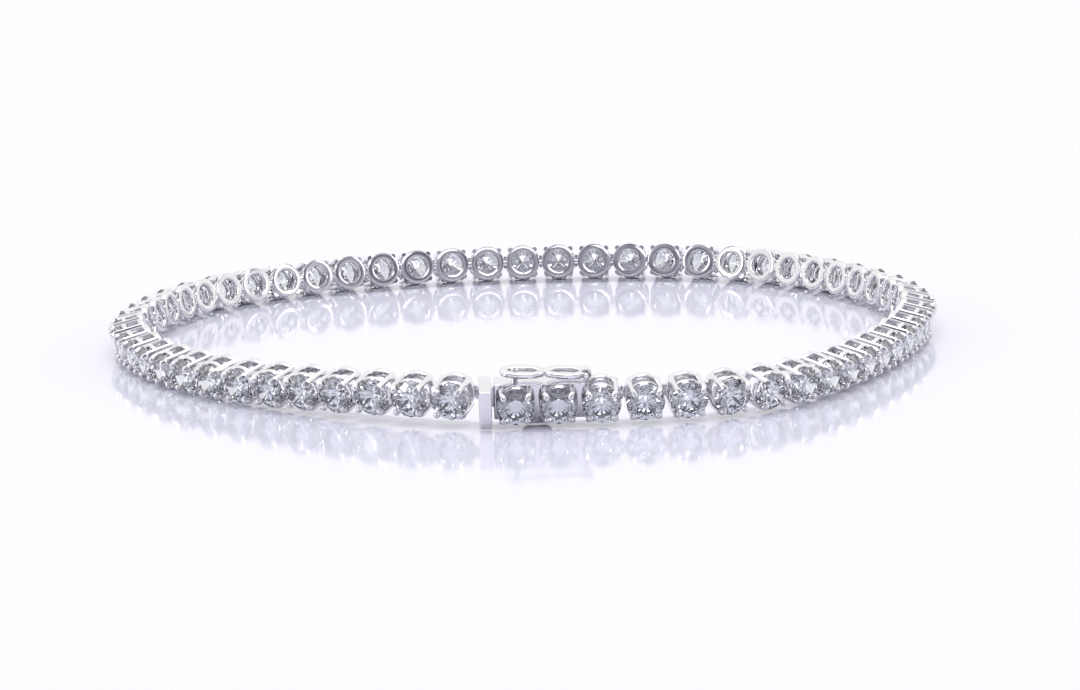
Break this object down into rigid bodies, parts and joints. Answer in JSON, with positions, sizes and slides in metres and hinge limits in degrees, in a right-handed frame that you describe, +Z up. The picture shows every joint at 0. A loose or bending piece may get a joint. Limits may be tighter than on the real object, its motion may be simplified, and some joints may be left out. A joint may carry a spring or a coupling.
{
  "type": "tennis bracelet",
  "caption": "Closed line bracelet of small round stones in four-prong settings, with a box clasp and a hinged figure-eight safety latch.",
  "frame": {"origin": "on the ground, at the middle of the box of the whole loop", "axes": "+Z up, across the band, which stands on its edge; -Y is the clasp's side and +X runs along the clasp, to the right seen from outside"},
  "size_m": [0.0614, 0.0604, 0.0041],
  "materials": {
    "white_gold": "polished white gold",
    "diamond": "cut and polished colourless stone"
  },
  "bodies": {
    "bracelet": {"link_run_1": "white_gold", "link_run_2": "white_gold", "link_run_3": "white_gold", "link_run_4": "white_gold", "link_run_5": "white_gold", "link_run_6": "white_gold", "link_run_7": "white_gold", "link_run_8": "white_gold", "clasp_box": "white_gold", "tongue": "white_gold", "clasp_stone_1": "diamond", "clasp_stone_2": "diamond", "clasp_stone_3": "diamond"},
    "latch": {"safety_latch": "white_gold"}
  },
  "joints": [
    {"name": "latch_hinge", "type": "hinge", "parent": "bracelet", "child": "latch", "pos_m": [0.0043, -0.02812, 0.00357], "axis": [-0.0214, 0.9701, 0.2419], "range_deg": [0, 100]}
  ]
}
